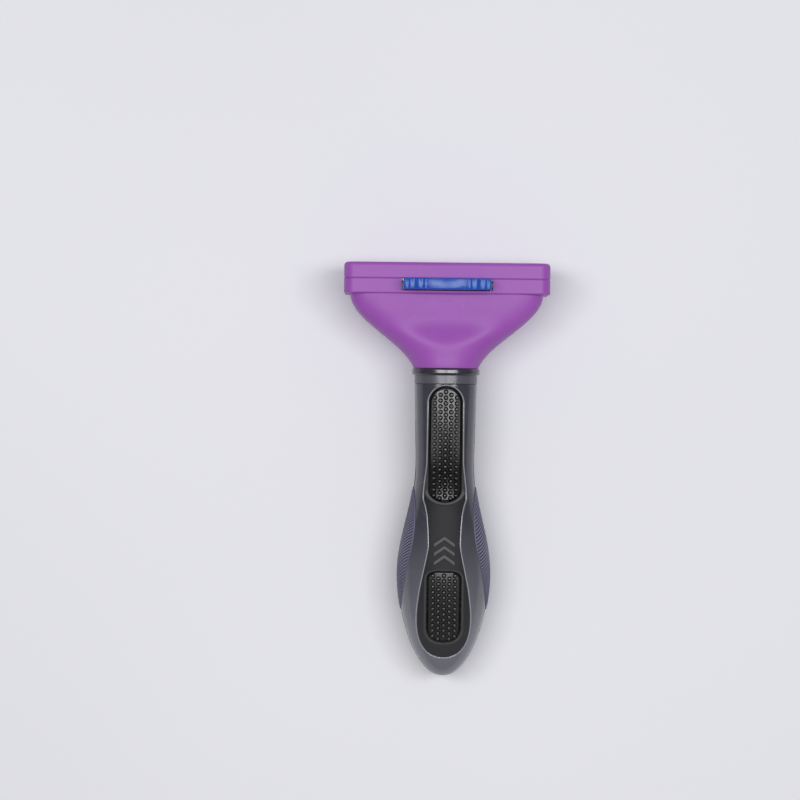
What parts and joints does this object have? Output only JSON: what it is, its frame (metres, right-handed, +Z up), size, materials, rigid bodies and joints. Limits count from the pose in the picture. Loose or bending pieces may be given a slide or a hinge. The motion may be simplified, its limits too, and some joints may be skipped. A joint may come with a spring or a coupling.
{
  "type": "deshedding tool",
  "caption": "Hand tool with a fine steel comb across a flared head, a spring-loaded push button that wipes hair off the comb, and a swelling soft-grip handle with studded pads.",
  "frame": {"origin": "centre of the footprint, on the surface that the tool lies on with its thumb side up", "axes": "+Y from the butt to the head, +X across the blade, +Z up out of the thumb side; the teeth point down"},
  "size_m": [0.0728, 0.1465, 0.039],
  "materials": {
    "purple_head": "satin gloss",
    "blue_button": "satin gloss",
    "comb_steel": "ground",
    "ejector_steel": "rolled",
    "spring_steel": "drawn wire",
    "screw_steel": "zinc plated",
    "collar_gray": "gloss",
    "band_gray": "satin gloss",
    "smoke_gray_shell": "satin gloss",
    "black_rubber": "satin, moulded",
    "pad_rubber": "studded",
    "side_rubber": "ribbed"
  },
  "bodies": {
    "tool": {"head_housing": "purple_head", "head_cover": "purple_head", "blade": "comb_steel", "return_spring_left": "spring_steel", "return_spring_right": "spring_steel", "guide_rod_left": "screw_steel", "guide_rod_right": "screw_steel", "head_screws": "screw_steel", "handle_screws": "screw_steel", "neck_collar": "collar_gray", "neck_band": "band_gray", "thumb_side_shell": "smoke_gray_shell", "finger_side_shell": "smoke_gray_shell", "thumb_side_spine": "black_rubber", "thumb_pad": "pad_rubber", "palm_pad": "pad_rubber", "finger_side_grip": "black_rubber", "side_grip_left": "side_rubber", "side_grip_right": "side_rubber"},
    "ejector": {"ejector_plate": "ejector_steel", "ejector_button": "blue_button"}
  },
  "joints": [
    {"name": "ejector_slide", "type": "slide", "parent": "tool", "child": "ejector", "axis": [0, 0, -1], "range_m": [0, 0.007], "stiffness_N_per_m": 300, "springref_m": -0.006, "deforming": ["return_spring_left", "return_spring_right"]}
  ]
}
